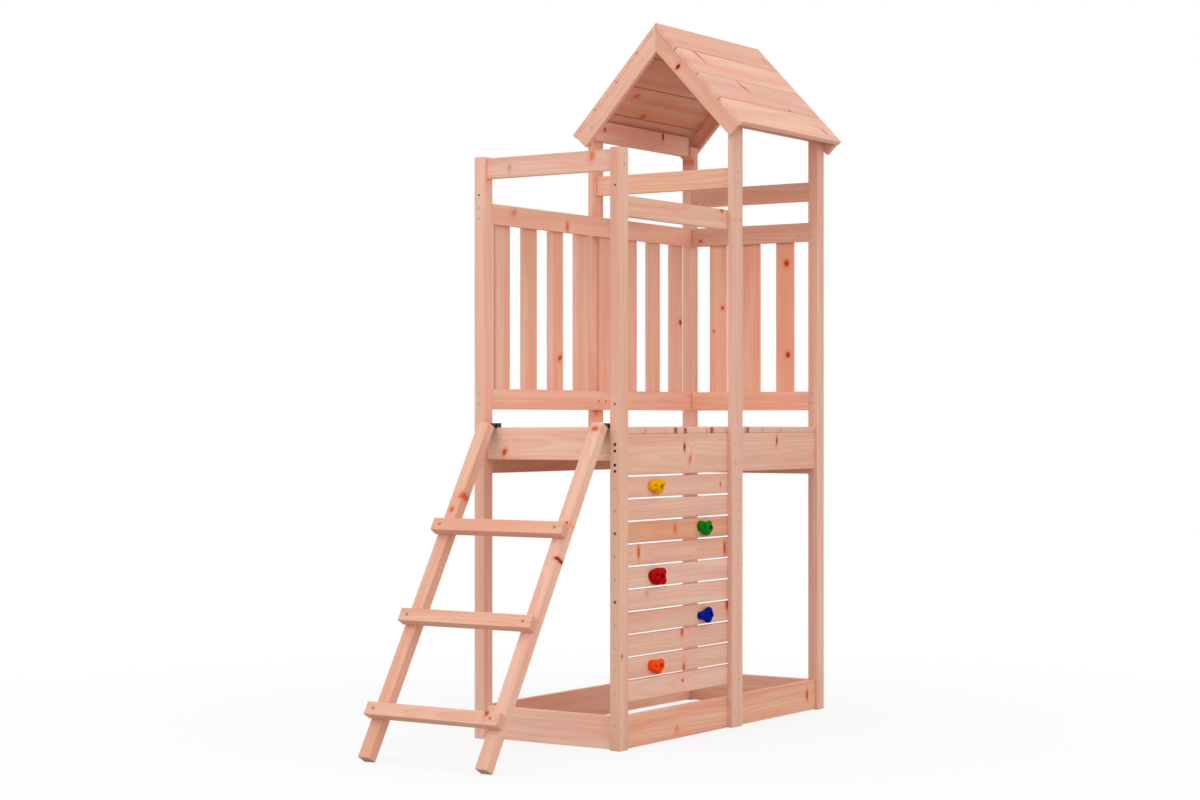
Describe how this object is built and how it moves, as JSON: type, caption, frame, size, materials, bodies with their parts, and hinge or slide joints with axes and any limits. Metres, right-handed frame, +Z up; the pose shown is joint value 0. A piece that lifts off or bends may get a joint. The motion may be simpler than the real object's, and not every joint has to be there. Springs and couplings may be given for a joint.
{
  "type": "wooden climbing frame",
  "caption": "Wooden climbing frame with a raised platform, gabled roof over one half, slatted fences, a leaning ladder, a plank climbing wall with plastic holds and a sandbox base.",
  "frame": {"origin": "on the ground under the middle of the whole object's box, ladder included", "axes": "+Z up, the ladder faces -Y, the climbing wall faces +X, the roofed half is towards +Y"},
  "size_m": [0.5724, 1.656, 1.9885],
  "materials": {
    "fir": "sawn and planed, unpainted",
    "hook_steel": "black coated",
    "screw_steel": "zinc plated",
    "plastic_yellow": "moulded, grained",
    "plastic_green": "moulded, grained",
    "plastic_red": "moulded, grained",
    "plastic_blue": "moulded, grained",
    "plastic_orange": "moulded, grained"
  },
  "bodies": {
    "root": {"post_ladder_back": "fir", "post_ladder_front": "fir", "post_mid_back": "fir", "post_mid_front": "fir", "post_far_back": "fir", "post_far_front": "fir", "sandbox_board_back": "fir", "sandbox_board_front": "fir", "sandbox_board_ladder": "fir", "sandbox_board_far": "fir", "apron_back": "fir", "apron_front": "fir", "apron_ladder": "fir", "apron_far": "fir", "platform_planks": "fir", "wall_board_1": "fir", "wall_board_2": "fir", "wall_board_3": "fir", "wall_board_4": "fir", "wall_board_5": "fir", "wall_board_6": "fir", "wall_board_7": "fir", "wall_board_8": "fir", "wall_board_9": "fir", "wall_board_10": "fir", "fence_rail_back_upper": "fir", "fence_rail_back_lower": "fir", "fence_rail_far_upper": "fir", "fence_rail_far_lower": "fir", "fence_slats_back": "fir", "fence_slats_far": "fir", "handrail_ladder": "fir", "handrail_middle": "fir", "handrail_far": "fir", "handrail_wall": "fir", "rafter_front_left": "fir", "rafter_front_right": "fir", "rafter_rear_left": "fir", "rafter_rear_right": "fir", "roof_planks_left": "fir", "roof_planks_right": "fir", "eave_plate_back": "fir", "eave_plate_front": "fir", "ladder_rail_left": "fir", "ladder_rail_right": "fir", "ladder_rung_1": "fir", "ladder_rung_2": "fir", "ladder_rung_3": "fir", "ladder_hooks": "hook_steel", "hold_yellow": "plastic_yellow", "hold_green": "plastic_green", "hold_red": "plastic_red", "hold_blue": "plastic_blue", "hold_orange": "plastic_orange", "hold_bolts": "screw_steel", "hold_nuts": "screw_steel", "frame_screws": "screw_steel", "ladder_screws": "screw_steel"}
  },
  "joints": []
}
